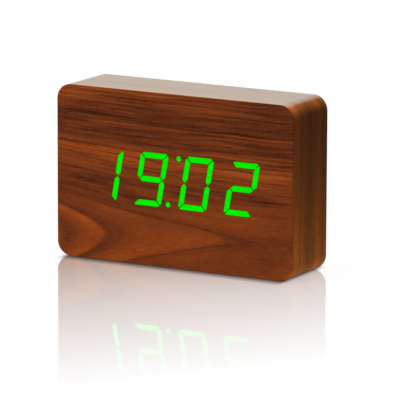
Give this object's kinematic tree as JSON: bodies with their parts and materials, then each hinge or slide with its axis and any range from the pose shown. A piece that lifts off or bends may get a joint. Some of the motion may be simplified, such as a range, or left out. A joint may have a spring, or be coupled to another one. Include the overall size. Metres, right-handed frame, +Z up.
{
  "type": "wooden digital alarm clock",
  "caption": "Walnut-veneered block clock with slanted seven-segment digits shining through the front, a black rear cover with push buttons and a hinged battery door.",
  "frame": {"origin": "middle of the base, where the clock stands", "axes": "+X to the right as the digits are read, +Y to the rear, +Z up; the digits face -Y"},
  "size_m": [0.15, 0.04, 0.098],
  "materials": {
    "walnut_veneer": "satin lacquered walnut veneer, 0.6 mm",
    "lit_veneer": "veneer lit green from behind",
    "fibreboard": "raw medium-density fibreboard",
    "beech": "raw beech",
    "white_film": "translucent diffuser film",
    "white_plastic": "white moulding",
    "clear_resin": "clear resin",
    "lamp": "green lamp package",
    "circuit_board": "solder resist",
    "chip_black": "moulded package",
    "steel": "zinc-plated steel",
    "cover_black": "fine-textured black moulding",
    "door_black": "fine-textured black moulding",
    "button_black": "satin black moulding",
    "cell": "plain printed sleeve with bare metal ends",
    "red_wire": "red insulation",
    "black_wire": "black insulation",
    "grey_ribbon": "grey flat cable",
    "ivory_plastic": "ivory moulding",
    "capacitor_blue": "dark blue sleeve",
    "rubber": "soft rubber"
  },
  "bodies": {
    "case": {"front_veneer": "walnut_veneer", "lit_segments": "lit_veneer", "colon_dots": "lit_veneer", "band_veneer": "walnut_veneer", "rear_edge_veneer": "walnut_veneer", "case_top": "fibreboard", "case_bottom": "fibreboard", "case_left": "fibreboard", "case_right": "fibreboard", "case_dowels": "beech", "corner_blocks": "beech", "front_board": "fibreboard", "display_film": "white_film", "display_reflector": "white_plastic", "light_guides": "clear_resin", "display_leds": "lamp", "display_board": "circuit_board", "driver_chips": "chip_black", "display_spacers": "ivory_plastic", "display_screws": "steel", "rear_cover": "cover_black", "rear_cover_screws": "steel", "battery_cells": "cell", "battery_contacts": "steel", "battery_springs": "steel", "positive_lead": "red_wire", "negative_lead": "black_wire", "battery_header": "ivory_plastic", "main_board": "circuit_board", "main_board_screws": "steel", "controller_chip": "chip_black", "clock_crystal": "steel", "capacitors": "capacitor_blue", "chip_resistors": "chip_black", "ribbon_headers": "chip_black", "ribbon_cable": "grey_ribbon", "buzzer": "chip_black", "microphone": "steel", "microphone_boot": "rubber", "power_socket": "steel", "socket_tongue": "chip_black", "switch_bodies": "chip_black"},
    "set_key": {"set_button": "button_black", "set_plunger": "chip_black"},
    "up_key": {"up_button": "button_black", "up_plunger": "chip_black"},
    "down_key": {"down_button": "button_black", "down_plunger": "chip_black"},
    "door": {"battery_door": "door_black"}
  },
  "joints": [
    {"name": "set_press", "type": "slide", "parent": "case", "child": "set_key", "axis": [0, -1, 0], "range_m": [0, 0.0005], "stiffness_N_per_m": 400, "springref_m": -0.001},
    {"name": "up_press", "type": "slide", "parent": "case", "child": "up_key", "axis": [0, -1, 0], "range_m": [0, 0.0005], "stiffness_N_per_m": 400, "springref_m": -0.001},
    {"name": "down_press", "type": "slide", "parent": "case", "child": "down_key", "axis": [0, -1, 0], "range_m": [0, 0.0005], "stiffness_N_per_m": 400, "springref_m": -0.001},
    {"name": "door_hinge", "type": "hinge", "parent": "case", "child": "door", "pos_m": [-0.0335, 0.0176, 0.02745], "axis": [-1, 0, 0], "range_deg": [0, 100]}
  ]
}
